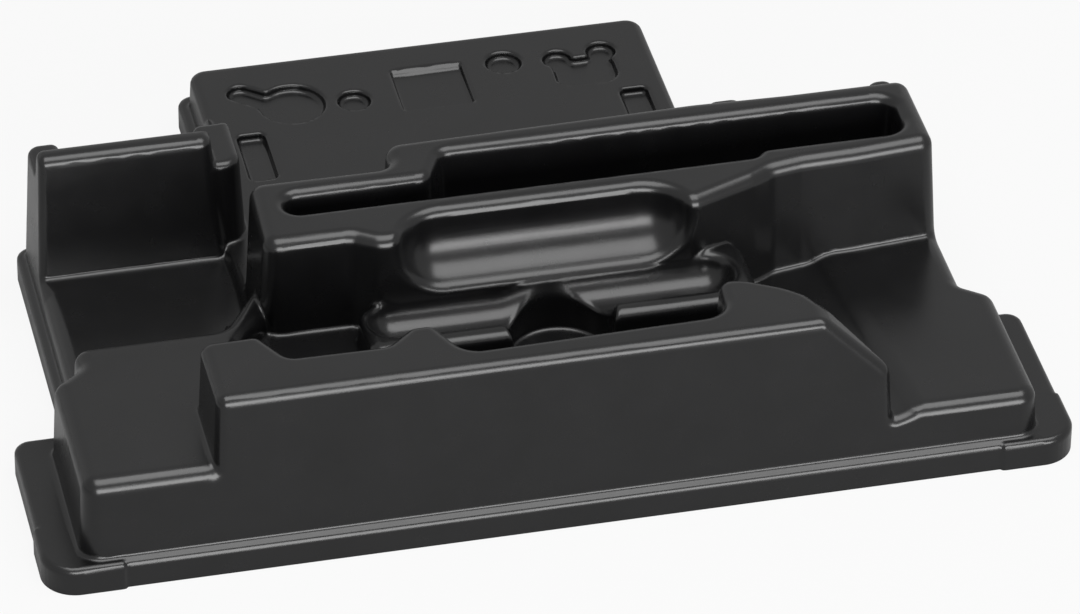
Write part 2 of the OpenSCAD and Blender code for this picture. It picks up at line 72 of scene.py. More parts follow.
SHEET_T = 2.0
LEAN = math.tan(math.radians(3))  # draft of the walls
SLANT = math.cos(math.atan(LEAN))  # makes a distance in plan one that is square to such a wall
HOLE_LEAN = 0.1  # draft of the round holes

# Edges and fillets, seen in section
EDGE_R = 3.0  # of the posts and the bumps
SLOT_EDGE_R = 4.0
FRONT_EDGE_R = 4.0  # of the front block
MIDDLE_EDGE_R = 5.0  # of the middle block
LEFT_EDGE_R = 3.6  # of the left block's ridge
LEFT_SHELF_EDGE_R = 5.6  # where the left shelf meets the outer walls
LEFT_SHELF_INNER_R = 5.0  # over its own walls
RIM = 4.6  # of the nest and the trough
BAY_RIM = 1.8
FOOT_R = 1.6  # fillet where a wall meets a floor
SLOT_FOOT_R = 2.0
RECESS_FOOT_R = 1.0
SKIRT_EDGE_R = 2.5
SHELF_EDGE_R = 2.4  # of the low panel
RIM_R = 1.2  # of the recesses
FINE_R = 0.8  # of the dimples' rims and of the square recess's foot
RAMP_EDGE_R = 2.0
NOSE_EDGE_R = 2.2

# Corners, seen in plan
PAD_CORNER_R = 13  # of the ears and their pads
OUTER_CORNER_R = 6  # of the rest of the flange
INNER_CORNER_R = 4.6
FRONT_WALL_R, WALL_CORNER_R, INNER_WALL_R = 8, 7, 4  # of the outer walls
SHARP = 1  # of a corner that barely shows, or that the outer walls cut away

# The outer walls, where they meet the flange's top
FRONT_Y, SIDE_X, WAIST_X = 4.2, 174.5, 164.5
SIDE_STEP_Y, SIDE_STEP_D = 69.0, 8.0  # the step from the ears' width to the waist's
WAIST_BACK = 194.0
BACK_Y = FLANGE_D - 4.0
TAIL_RIM = 3.5  # from the flange's sides to the walls, at the tail

# Heights
WELL_H, PANEL_H, RIGHT_SHELF_H, STEP_FLOOR_H, LEFT_SHELF_H = 22.5, 25.5, 29.0, 32.0, 43.0
SLOT_FLOOR_H = 27.0
NOSE_H = 47.5  # where the front block's slope ends at the right
BACK_STEP_H, POST_H, BUMP_H = 50.0, 60.0, 60.0

# Places in plan
PANEL_BACK = BACK_Y - LEAN * (PANEL_H - FLANGE_H)
FAR = 40.0  # how far an outline is carried past the front wall, which cuts it
BEYOND_X, BEYOND_Y = 220, 330  # past the side walls and past the rear wall
FACET_SLOPE, FACET_CREASE_R = 0.4, 6.0  # of the facet at the back of the left shelf
RAMP_FRONT, RAMP_BACK, RAMP_W = (129, FRONT_Y), (119, 111), 6.0  # the ramp's upper edge
NOSE_START_X, NOSE_X = 94.5, 117.5  # the slope of the front block
BUMP_BACK = 166.6
BUMPS = ((95.9, 7.0), (155.9, 5.2))  # the middle and half the width of each

# The seats of the round tool
NEST_Y, NEST_Z, NEST_R, NEST_X = 85.4, 64.6, 17.5, (-25.0, 47.0)
TROUGH_Y, TROUGH_Z, TROUGH_R, TROUGH_X = 77.4, 45.0, 10.4, (-46, 67)  # the left half's axis
# The step up to the trough's right half: height, start and width
TROUGH_STEP, TROUGH_STEP_X, TROUGH_STEP_W = 2.8, -8, 14
TROUGH_RIM_UP = 0.3  # the front rim's crest over the axis
# From the trough's axis to the middle of its front rim
TROUGH_REACH = math.sqrt((TROUGH_R + RIM) ** 2 - (RIM - TROUGH_RIM_UP) ** 2)
BENCH_LEFT, BENCH_RIGHT = -59.5, 84.5
BAY_X, BAY_Y, BAY_R = 11.0, 66.0, 19.8

# The left block
RIDGE_FRONT, RIDGE_RIGHT, POST_FRONT = 163.8, -97.5, 163.5
RIDGE_D = 8.5  # depth of the ridge's top
RIDGE_LEAN_BACK, RIDGE_LEAN_SIDE = 8.5 / 64.5, math.tan(math.radians(5))  # for each mm down
RIDGE_REAR_R = 1.0

# The recesses of the rear panel, with their places from the panel's rear edge
RECESS_D, DIMPLE_D, SEAT_D, SQUARE_D, POCKET_D = 5, 3, 6.5, 2.5, 6
KEY_X, KEY_Y, KEY_R, KEY_SMALL_R = -52.0, 30.5, 12.5, 5
LOBE_X, LOBE_Y, LOBE_R, LOBE_OUT = 62.0, 29, 5.5, 8.75
BLEND_R = 1.5  # between the lobes of a recess
HOLES = ((-28.5, 33, 6.2), (32.5, 20, 6.8))  # place and radius of the round holes
DIMPLE_R = 3
SQUARE_X, SQUARE_Y, SQUARE_HALF = 2.5, 30, 13.5
POCKETS_X, POCKET_Y, POCKET_LENGTH, POCKET_HALF = (-71.5, 77.0), 47, 30, 5.25

# The mesh
# Over this distance from an outline's box only a rough distance is given: that to the box and more
FAR_AWAY, AND_MORE = 12, 10.0
SLAB = 64  # how many layers of the grid are worked out at once
# The grid's step and about how many triangles are kept, for each face of the sheet
UPPER_PITCH, UPPER_TRIANGLES = 1.0, 150000
LOWER_PITCH, LOWER_TRIANGLES = 1.5, 36000
FLAT_AREA, FLAT_ANGLE = 3.0, 12.0  # triangles from this area shade flat, within this angle

# The plastic
BLACK, WORN_BLACK = (0.003, 0.003, 0.0032), (0.0045, 0.0045, 0.0048)
ROUGHNESS = (0.24, 0.28)

# The studio, in metres, degrees and watts:
# name, elevation, distance, place along X, length, height, power
LIGHTS = (("front", 16, 2.2, 0.3, 2.6, 0.95, 62), ("top", 76, 2.2, 0.3, 2.6, 1.5, 52))
WORLD_STRENGTH, WORLD_SHINE = 0.25, 0.6  # what lights the object, and what its gloss shows
FLOOR_SIZE, FLOOR_COLOUR = 12.0, (0.42, 0.42, 0.42)
FLOOR_GLOW = 0.9  # how white the floor is to the camera

# The camera, in the part's millimetres and in degrees
CAMERA_LENS, CAMERA_SENSOR = 229.16, 36
CAMERA_ANGLES = (-13.076, 36.339, 0.5)  # turn, tilt, roll
CAMERA_TARGET, CAMERA_DISTANCE, CAMERA_SHIFT = (0, 140, 30), 2536.633, (20.033, 26.233)


# ---------------------------------------------------------------- the field
class Outline:
    """A plan outline with rounded corners, counter-clockwise: [(x, y, radius), ...]."""

    def __init__(self, corners):
        self.lines, self.arcs = [], []
        n = len(corners)
        starts, ends = [], []
        for i in range(n):
            a, b, c = (np.array(corners[j % n][:2], float) for j in (i - 1, i, i + 1))
            r = corners[i][2]
            u, v = (a - b) / np.linalg.norm(a - b), (c - b) / np.linalg.norm(c - b)
            half = math.acos(np.clip(u @ v, -1, 1)) / 2
            reach = r / math.tan(half)
            starts.append(b + u * reach)
            ends.append(b + v * reach)
            if r > 0:
                turn = -(u[0] * v[1] - u[1] * v[0])  # over 0 at an outer corner
                middle = b + (u + v) / np.linalg.norm(u + v) * r / math.sin(half)
                axis = (b - middle) / np.linalg.norm(b - middle)
                spread = math.cos(math.pi / 2 - half)
                self.arcs.append((middle, r, axis, spread, 1 if turn > 0 else -1))
        for i in range(n):
            self.lines.append((ends[i], starts[(i + 1) % n]))
        points = np.array(starts + ends)
        self.low, self.high = points.min(0), points.max(0)

    def away(self, x, y):
        """Signed distance in plan, below 0 inside."""
        x, y = np.broadcast_arrays(np.asarray(x, float), np.asarray(y, float))
        dx = np.maximum(np.maximum(self.low[0] - x, x - self.high[0]), 0)
        dy = np.maximum(np.maximum(self.low[1] - y, y - self.high[1]), 0)
        result = np.hypot(dx, dy) + AND_MORE
        near = (dx < FAR_AWAY) & (dy < FAR_AWAY)
        result[near] = self._exact(x[near], y[near])
        return result

    def _exact(self, x, y):
        best = np.full(x.shape, 1e9)
        for a, b in self.lines:
            d = b - a
            length = np.linalg.norm(d)
            if length < 1e-9:
                continue
            d = d / length
            px, py = x - a[0], y - a[1]
            s = np.clip(px * d[0] + py * d[1], 0, length)
            dist = np.hypot(px - s * d[0], py - s * d[1])
            signed = np.where(d[0] * py - d[1] * px > 0, -dist, dist)
            best = np.where(dist < np.abs(best), signed, best)
        for m, r, axis, spread, side in self.arcs:
            px, py = x - m[0], y - m[1]
            rho = np.hypot(px, py)
            inside = px * axis[0] + py * axis[1] >= spread * rho
            signed = side * (rho - r)
            best = np.where(inside & (np.abs(signed) < np.abs(best)), signed, best)
        return best


def both(a, b, r=0.0, c=0.0):
    """What lies in both forms, with the edge between them rounded by r.

    c is the cosine of the angle between the two faces' normals.
    """
    a, b = a + r, b + r
    arc = np.sqrt(np.maximum(a * a + b * b - 2 * c * a * b, 0) / (1 - c * c))
    return np.where((a > c * b) & (b > c * a), arc, np.maximum(a, b)) - r


def join(a, b, r=0.0, c=0.0):
    """What lies in either form, with a fillet of radius r between them."""
    return -both(-a, -b, r, c)


def cut(a, b, r=0.0, c=0.0):
    """The first form without the second, with the new edge rounded by r."""
    return both(a, -b, r, c)


def wall(outline, x, y, z, top):
    """A drafted wall, whose outline is given at the height top."""
    return (outline.away(x, y) - LEAN * (top - z)) * SLANT


def block(corners, x, y, z, top, r=EDGE_R):
    """A solid with a flat top, drafted walls and an edge of radius r between them."""
    return both(wall(Outline(corners), x, y, z, top), z - top, r)


def seat(x, y, z, x0, x1, cy, cz, r):
    """The seat of a bar along X, open upwards; x0 and x1 are the middles of its round ends."""
    along = x - np.clip(x, x0, x1)
    return np.sqrt(along ** 2 + (y - cy) ** 2 + np.minimum(z - cz, 0) ** 2) - r


def plan_of_the_walls():
    """The outer walls of everything that stands on the flange, at the flange's height."""
    left, right = -TAIL_LEFT + TAIL_RIM, TAIL_RIGHT - TAIL_RIM
    step_end = SIDE_STEP_Y + SIDE_STEP_D
    outer, inner = WALL_CORNER_R, INNER_WALL_R
    return [(-SIDE_X, FRONT_Y, FRONT_WALL_R), (SIDE_X, FRONT_Y, FRONT_WALL_R),
            (SIDE_X, SIDE_STEP_Y, outer), (WAIST_X, step_end, inner), (WAIST_X, WAIST_BACK, outer),
            (right, WAIST_BACK, inner), (right, BACK_Y, outer), (left, BACK_Y, outer),
            (left, WAIST_BACK, inner),
            (-WAIST_X, WAIST_BACK, outer), (-WAIST_X, step_end, inner),
            (-SIDE_X, SIDE_STEP_Y, outer)]


def flange(x, y, z):
    """The flange with its skirt, and a pad at each front corner."""
    w, t = FLANGE_W / 2, WAIST_W / 2
    pad_r, outer, inner = PAD_CORNER_R, OUTER_CORNER_R, INNER_CORNER_R
    plan = Outline([(-w, PAD_OUT, pad_r), (w, PAD_OUT, pad_r), (w, EAR_D, outer),
                    (t, EAR_D, inner), (t, WAIST_D, outer), (TAIL_RIGHT, WAIST_D, inner),
                    (TAIL_RIGHT, FLANGE_D, outer), (-TAIL_LEFT, FLANGE_D, outer),
                    (-TAIL_LEFT, WAIST_D, inner), (-t, WAIST_D, outer), (-t, EAR_D, inner),
                    (-w, EAR_D, outer)]).away(x, y)
    out = w + PAD_OUT
    left_pad = [(-out, 0, pad_r), (-w + PAD_W, 0, SHARP), (-w + PAD_W, PAD_W, SHARP),
                (-out, PAD_W, SHARP)]
    right_pad = [(-px, py, r) for px, py, r in reversed(left_pad)]
    for pad in (left_pad, right_pad):
        plan = join(plan, Outline(pad).away(x, y), PAD_FILLET_R)
    return both(plan, z - FLANGE_H, SKIRT_EDGE_R)


def floors(x, y, z):
    """The sunk shelf, the panel, the shelves and the ramp, without the outer walls."""
    form = z - WELL_H
    panel = [(-94, -FAR, SHARP), (BEYOND_X, -FAR, SHARP), (BEYOND_X, BEYOND_Y, SHARP),
             (-130, BEYOND_Y, SHARP), (-130, 200, SHARP), (-94, 166, SHARP)]
    panel = block(panel, x, y, z, PANEL_H, SHELF_EDGE_R)
    form = join(form, cut_recesses(panel, x, y, z), FOOT_R)
    # The left shelf, with a facet that falls off to the right behind the front block
    shelf = Outline([(-230, -FAR, SHARP), (-104.5, -FAR, SHARP), (-104, 78.5, 4),
                     (-88.5, 99, SHARP), (-83, 114, SHARP), (-90, 114, SHARP),
                     (-108, 87.5, 10), (-230, 87.5, SHARP)])
    ax, ay, bx, by = -103.0, 80.0, -92.0, 112.0  # the line at which the facet begins
    aside = ((x - ax) * (by - ay) - (y - ay) * (bx - ax)) / math.hypot(bx - ax, by - ay)
    flat = math.hypot(1, FACET_SLOPE)
    facet = (FACET_SLOPE * aside + z - LEFT_SHELF_H) / flat
    top = both(z - LEFT_SHELF_H, facet, FACET_CREASE_R, 1 / flat)
    shelf = both(wall(shelf, x, y, z, LEFT_SHELF_H), top, LEFT_SHELF_INNER_R)
    form = join(form, shelf, FOOT_R)
    raised = [(-104.5, 28, SHARP), (-46, 28, SHARP), (-46, 105, SHARP), (-104.5, 105, SHARP)]
    form = join(form, block(raised, x, y, z, STEP_FLOOR_H), FOOT_R)
    # The ramp falls to the left from the right shelf, along a slanting line
    front, back = Vector(RAMP_FRONT), Vector(RAMP_BACK)
    along = (back - front).normalized()
    aside = (x - front.x) * along.y - (y - front.y) * along.x
    rise = RIGHT_SHELF_H - PANEL_H
    slope = (-aside * rise + (z - RIGHT_SHELF_H) * RAMP_W) / math.hypot(rise, RAMP_W)
    return join(form, both(slope, z - RIGHT_SHELF_H, RAMP_EDGE_R), FOOT_R)


def cut_recesses(form, x, y, z):
    """The panel with its recesses."""
    def hole(middle_x, from_back, r, depth):
        away = np.hypot(x - middle_x, y - (PANEL_BACK - from_back)) - r
        return both(away + HOLE_LEAN * (PANEL_H - z), PANEL_H - depth - z, RECESS_FOOT_R)

    def recess(plan):
        return both(plan + LEAN * (PANEL_H - z), PANEL_H - RECESS_D - z, RECESS_FOOT_R)

    # The keyhole: a large lobe and a small one, joined by a neck
    kx, ky = KEY_X, PANEL_BACK - KEY_Y
    neck_a, neck_b = np.array((kx - 9, ky + 3.7)), np.array((kx - 18, ky + 11))
    d = neck_b - neck_a
    s = np.clip(((x - neck_a[0]) * d[0] + (y - neck_a[1]) * d[1]) / (d @ d), 0, 1)
    neck = np.hypot(x - neck_a[0] - s * d[0], y - neck_a[1] - s * d[1]) - KEY_SMALL_R
    form = cut(form, recess(join(np.hypot(x - kx, y - ky) - KEY_R, neck, BLEND_R)), RIM_R)
    # The lobed recess, with a deeper seat in its floor
    lx, ly = LOBE_X, PANEL_BACK - LOBE_Y
    lobes = join(np.hypot(x - lx + LOBE_OUT, y - ly - 7) - LOBE_R,
                 np.hypot(x - lx - LOBE_OUT, y - ly - 9) - LOBE_R)
    body = Outline([(lx - 12, ly - 11, 5), (lx + 12, ly - 12, 7), (lx + 12, ly + 7, 6),
                    (lx - 11.5, ly + 6, 5)]).away(x, y)
    form = cut(form, recess(join(lobes, body, BLEND_R)), RIM_R)
    form = cut(form, hole(lx + 6, 33, 5, SEAT_D), RIM_R)
    # The round holes, each with a dimple in its floor
    for middle_x, from_back, r in HOLES:
        form = cut(form, hole(middle_x, from_back, r, RECESS_D), RIM_R)
        form = cut(form, hole(middle_x, from_back, DIMPLE_R, RECESS_D + DIMPLE_D), FINE_R)
    # The square recess, with a sloping rear wall
    sx, sy, s = SQUARE_X, PANEL_BACK - SQUARE_Y, SQUARE_HALF
    square = Outline([(sx - s, sy - s, 1.5), (sx + s, sy - s, 1.5), (sx + s, sy + s, 1.5),
                      (sx - s, sy + s, 1.5)]).away(x, y)
    slope = (y - (sy + s) - (z - PANEL_H)) * math.sqrt(0.5)
    form = cut(form, both(both(square, slope, 0.5), PANEL_H - SQUARE_D - z, FINE_R), RIM_R)
    # The two long pockets
    for px in POCKETS_X:
        back = PANEL_BACK - POCKET_Y
        front, left, right = back - POCKET_LENGTH, px - POCKET_HALF, px + POCKET_HALF
        pocket = Outline([(left, front, 2.5), (right, front, 2.5), (right, back, 2.5),
                          (left, back, 2.5)])
        pocket = wall(pocket, x, y, 2 * PANEL_H - z, PANEL_H)
        form = cut(form, both(pocket, PANEL_H - POCKET_D - z, RECESS_FOOT_R), RIM_R)
    return form


def front_block(x, y, z):
    """The tall block at the front, with a slope at its right end and a low cut for the fingers."""
    outline = [(-124.5, -FAR, SHARP), (117.2, -FAR, SHARP), (117.2, 10.2, 1.5), (95, 20.3, 6),
               (91.5, 27, 14), (84.6, 33, 30), (72, 40.3, 20), (62.8, 41.6, 4.6), (61, 21, 9),
               (-33.5, 19, 10), (-41.8, 37, 4.6), (-50, 37, 4.6), (-60, 28.2, 6.5),
               (-95.2, 28.8, 5), (-103.5, 43.5, 4), (-124.5, 43.3, 4.6)]
    form = block(outline, x, y, z, BLOCK_H, FRONT_EDGE_R)
    fall, run = BLOCK_H - NOSE_H, NOSE_X - NOSE_START_X
    slope = ((x - NOSE_START_X) * fall + (z - BLOCK_H) * run) / math.hypot(fall, run)
    return both(form, slope, NOSE_EDGE_R)


def trough_middle(x):
    """The height of the trough's axis: it steps up to the right, behind the bay."""
    t = np.clip((x - TROUGH_STEP_X) / TROUGH_STEP_W, 0, 1)
    return TROUGH_Z + TROUGH_STEP * t * t * (3 - 2 * t)


def middle_block(x, y, z):
    """The tall block across the middle, with the long slot in it."""
    front = TROUGH_Y + TROUGH_R + LEAN * (BLOCK_H - TROUGH_Z)
    outline = [(-91, 95, 6), (-59, 95, 7), (-50, front, 10), (65, front, 8), (91, 99.5, 12),
               (98.5, 103.6, 12), (110.7, 105.7, 12), (130.9, 106.3, 20), (220, 114, SHARP),
               (220, 149.7, SHARP), (115, 150, 30), (80, 151.3, 60), (-36.5, 149.2, 6),
               (-36.5, 134.4, 5.6), (-89.5, 135, 5.6)]
    form = block(outline, x, y, z, BLOCK_H, MIDDLE_EDGE_R)
    slot = [(-79, 112.7, 5.6), (94.5, 112.7, 5), (98.5, 116.7, 5), (152.8, 116.7, 8),
            (152.8, 139.5, 7), (-17, 139.5, 5), (-24.5, 124.6, 7), (-79, 124.6, 5.6)]
    pocket = (Outline(slot).away(x, y) + LEAN * (BLOCK_H - z)) * SLANT
    return cut(form, both(pocket, SLOT_FLOOR_H - z, SLOT_FOOT_R), SLOT_EDGE_R)


def bench(x, y, z):
    """The low bench before the middle block, with the trough along it and the round bay."""
    middle = trough_middle(x)
    front = TROUGH_Y - TROUGH_REACH - RIM
    outline = [(BENCH_LEFT, front, 6), (BENCH_RIGHT, front, 6), (BENCH_RIGHT, 94.5, 6),
               (-45, 95, 6), (BENCH_LEFT, 84, 6)]
    form = block(outline, x, y, z, middle + TROUGH_RIM_UP, RIM)
    trough = seat(x, y, z, *TROUGH_X, TROUGH_Y, middle, TROUGH_R)
    form = cut(form, trough, RIM, (RIM - TROUGH_RIM_UP) / (TROUGH_R + RIM))
    bay = (np.hypot(x - BAY_X, y - BAY_Y) - BAY_R - LEAN * (z - TROUGH_Z)) * SLANT
    return cut(form, bay, BAY_RIM)


def tool_seats(x, y, z):
    """The middle block and the bench, with the nest of a round tool cut into both."""
    # Over the trough the two meet at a flat angle
    along = np.interp(x, [-50, -42, 63, 71], [0, 1, 1, 0]) * np.interp(z, [33, 41], [0, 1])
    form = join(middle_block(x, y, z), bench(x, y, z), FOOT_R, 0.9 * along)
    nest = seat(x, y, z, *NEST_X, NEST_Y, NEST_Z, NEST_R)
    # So do the nest's lower rim and the block's wall
    return cut(form, nest, RIM, np.interp(z, [NEST_Z - NEST_R + 3, NEST_Z], [0.3, 0.0]))


def left_block(x, y, z):
    """A ridge that leans back, with a step behind it between two posts."""
    down = BLOCK_H - z
    front = (RIDGE_FRONT - y) - RIDGE_LEAN_BACK * down
    side = (x - RIDGE_RIGHT) - RIDGE_LEAN_SIDE * down
    rear = (y - RIDGE_FRONT - RIDGE_D) - LEAN * down
    corner = both(side * math.cos(math.atan(RIDGE_LEAN_SIDE)),
                  front * math.cos(math.atan(RIDGE_LEAN_BACK)), INNER_CORNER_R)
    ridge = both(both(corner, rear * SLANT, RIDGE_REAR_R), z - BLOCK_H, LEFT_EDGE_R)
    left_post = [(-230, 166, SHARP), (-150.3, 166, 2), (-150.3, 240, SHARP), (-230, 240, SHARP)]
    right_post = [(-100, 120, INNER_CORNER_R), (-40, 120, SHARP), (-40, 240, SHARP),
                  (-100, 240, SHARP)]
    posts = z - BACK_STEP_H
    for post in (left_post, right_post):
        posts = join(posts, block(post, x, y, z, POST_H), FOOT_R)
    base = Outline([(-230, POST_FRONT, SHARP), (-86.5, POST_FRONT, 7), (-86.5, 240, SHARP),
                    (-230, 240, SHARP)])
    posts = both(wall(base, x, y, z, POST_H), posts, EDGE_R)
    return join(ridge, posts, FOOT_R)


def bumps(x, y, z):
    """Two bumps on the rear wall of the middle block."""
    forms = []
    for middle_x, half in BUMPS:
        left, right = middle_x - half, middle_x + half
        outline = [(left, 142.5, SHARP), (right, 142.5, SHARP),
                   (right, BUMP_BACK, INNER_CORNER_R), (left, BUMP_BACK, INNER_CORNER_R)]
        forms.append(block(outline, x, y, z, BUMP_H))
    return np.minimum(*forms)


def outer_edge_r(x, y):
    """The rounding between the outer walls and what they carry; it changes from block to block."""
    left = np.interp(x, [-127, -122], [1, 0])
    right = np.interp(x, [115, 120], [FRONT_EDGE_R, MIDDLE_EDGE_R])
    back = np.interp(y, [148, 156], [0, 1])
    before = left * LEFT_SHELF_EDGE_R + (1 - left) * right
    return before + back * (EDGE_R - before)


def upper_face(x, y, z):
    """How far a point lies above the upper face of the sheet; below 0 it lies inside the form."""
    form = floors(x, y, z)
    for part in (front_block, tool_seats, left_block, bumps):
        form = join(form, part(x, y, z), FOOT_R)
    outer = (Outline(plan_of_the_walls()).away(x, y) + LEAN * (z - FLANGE_H)) * SLANT
    return join(both(form, outer, outer_edge_r(x, y)), flange(x, y, z), FOOT_R)


def lower_face(x, y, z):
    return upper_face(x, y, z) + SHEET_T


# ---------------------------------------------------------------- the mesh
def surface(field, pitch):
    """The surface where a field is 0: points, one in each cell that it crosses, and quads.

    The lowest cells are centred on z = 0 and the surface ends there, open.
    """
    margin = 2 * pitch
    x = np.arange(-FLANGE_W / 2 - margin, FLANGE_W / 2 + margin + pitch, pitch)
    y = np.arange(-margin, FLANGE_D + margin + pitch, pitch)
    z = np.arange(-0.5 * pitch, BLOCK_H + margin, pitch)
    slabs = [field(x[i:i + SLAB, None, None], y[None, :, None], z[None, None, :])
             for i in range(0, len(x), SLAB)]
    f = np.concatenate([slab.astype(np.float32) for slab in slabs])
    cells = tuple(n - 1 for n in f.shape)
    total, count = np.zeros(cells + (3,), np.float32), np.zeros(cells, np.float32)
    crossings = []
    for axis in range(3):
        a = np.take(f, range(f.shape[axis] - 1), axis)
        b = np.take(f, range(1, f.shape[axis]), axis)
        crossed = (a < 0) != (b < 0)
        crossings.append((crossed, a < 0))
        i, j, k = np.nonzero(crossed)
        t = a[i, j, k] / (a[i, j, k] - b[i, j, k])
        place = np.stack([i, j, k], 1).astype(np.float32)
        place[:, axis] += t
        others = [n for n in range(3) if n != axis]
        for da in (0, 1):
            for db in (0, 1):
                cell = [i, j, k]
                cell[others[0]] = cell[others[0]] - da
                cell[others[1]] = cell[others[1]] - db
                ok = np.ones(len(i), bool)
                for n in others:
                    ok &= (cell[n] >= 0) & (cell[n] < cells[n])
                index = tuple(c[ok] for c in cell)
                np.add.at(total, index, place[ok])
                np.add.at(count, index, 1)
    used = count > 0
    number = np.full(cells, -1, np.int64)
    number[used] = np.arange(used.sum())
    spot = total[used] / count[used][:, None] * pitch
    points = spot + np.array([x[0], y[0], z[0]])
    quads = []
    for axis in range(3):
        crossed, entering = crossings[axis]
        others = [(axis + 1) % 3, (axis + 2) % 3]
        place = np.stack(np.nonzero(crossed), 1)
        inner = entering[crossed]
        ok = np.ones(len(place), bool)
        for n in others:
            ok &= (place[:, n] >= 1) & (place[:, n] < cells[n])
        place, inner = place[ok], inner[ok]
        corners = []
        for da, db in ((1, 1), (0, 1), (0, 0), (1, 0)):
            c = place.copy()
            c[:, others[0]] -= da
            c[:, others[1]] -= db
            corners.append(number[c[:, 0], c[:, 1], c[:, 2]])
        q = np.stack(corners, 1)
        quads.append(np.where(inner[:, None], q, q[:, ::-1]))
    return points, np.concatenate(quads)


def gradient(field, p, step=0.02):
    """The unit vectors square to the field's surface, at the points p."""
    g = np.empty_like(p)
    for n in range(3):
        d = np.zeros(3)
        d[n] = step
        g[:, n] = field(*(p + d).T) - field(*(p - d).T)
    return g / np.maximum(np.linalg.norm(g, axis=1, keepdims=True), 1e-12)


def settle(field, p, rounds=2):
    """Moves points along the field's slope onto the surface; the open edge stays at z = 0."""
    edge = np.abs(p[:, 2]) < 0.01
    for _ in range(rounds):
        g = gradient(field, p)
        move = -np.clip(field(*p.T), -1, 1)[:, None] * g
        move[edge, 2] = 0
        p = p + move
    return p


def mesh_of(name, points, faces):
    """A mesh of faces that all have the same number of corners."""
    mesh = bpy.data.meshes.new(name)
    mesh.vertices.add(len(points))
    mesh.vertices.foreach_set("co", np.asarray(points, np.float32).ravel())
    n = faces.shape[1]
    mesh.loops.add(faces.size)
    mesh.loops.foreach_set("vertex_index", faces.astype(np.int32).ravel())
    mesh.polygons.add(len(faces))
    mesh.polygons.foreach_set("loop_start", np.arange(0, faces.size, n, dtype=np.int32))
    mesh.update(calc_edges=True)
    mesh.validate()
    return mesh


def thinned(name, points, faces, target):
    """The mesh with about target triangles, taken away where the surface is flat."""
    obj = bpy.data.objects.new(name, mesh_of(name, points, faces))
    bpy.context.scene.collection.objects.link(obj)
    thin = obj.modifiers.new("thin", "DECIMATE")
    thin.ratio = min(1, target / (2 * len(faces)))
    evaluated = obj.evaluated_get(bpy.context.evaluated_depsgraph_get())
    mesh = evaluated.to_mesh()
    mesh.calc_loop_triangles()
    p = np.empty(len(mesh.vertices) * 3, np.float32)
    mesh.vertices.foreach_get("co", p)
    t = np.empty(len(mesh.loop_triangles) * 3, np.int32)
    mesh.loop_triangles.foreach_get("vertices", t)
    evaluated.to_mesh_clear()
    bpy.data.objects.remove(obj)
    return p.reshape(-1, 3).astype(float), t.reshape(-1, 3)


def settled_flat(points, triangles, normals):
    """The normals, with those of a large triangle set square to it, so that it shades flat."""
    corner = points[triangles]
    cross = np.cross(corner[:, 1] - corner[:, 0], corner[:, 2] - corner[:, 0])
    large = np.linalg.norm(cross, axis=1) > 2 * FLAT_AREA
    total = np.zeros_like(points)
    for n in range(3):
        np.add.at(total, triangles[large, n], cross[large])
    total /= np.maximum(np.linalg.norm(total, axis=1, keepdims=True), 1e-12)
    near = (total * normals).sum(1) > math.cos(math.radians(FLAT_ANGLE))
    return np.where(near[:, None], total, normals)


def sheet_face(field, pitch, target):
    """One face of the sheet: its points, triangles and normals, in millimetres."""
    points, quads = surface(field, pitch)
    points, triangles = thinned("thin", settle(field, points), quads, target)
    points = settle(field, points)
    return points, triangles, settled_flat(points, triangles, gradient(field, points))


def sheet_mesh(name):
    """Both faces of the sheet, joined by the flat rim that it stands on."""
    coarse = 1.0
    top, top_triangles, top_normals = sheet_face(
        upper_face, UPPER_PITCH * coarse, UPPER_TRIANGLES)
    low, low_triangles, low_normals = sheet_face(
        lower_face, LOWER_PITCH * coarse, LOWER_TRIANGLES)
    points = np.concatenate([top, low]) - np.array([0, PLAN_MIDDLE, 0])
    normals = np.concatenate([top_normals, -low_normals])
    triangles = np.concatenate([top_triangles, low_triangles[:, ::-1] + len(top)])
    mesh = mesh_of(name, points * MM, triangles)
    loops = len(mesh.loops)  # the rim's come after these
    bm = bmesh.new()
    bm.from_mesh(mesh)
    edges = [e for e in bm.edges if e.is_boundary]
    for e in edges:
        for v in e.verts:
            v.co.z = 0
    bmesh.ops.triangle_fill(
        bm, use_beauty=True, use_dissolve=False, edges=edges, normal=(0, 0, -1))
    bm.to_mesh(mesh)
    bm.free()
    mesh.shade_smooth()
    vertex = np.empty(len(mesh.loops), np.int32)
    mesh.loops.foreach_get("vertex_index", vertex)
    corners = normals[vertex]
    corners[loops:] = (0, 0, -1)
    mesh.normals_split_custom_set(corners)
    return mesh


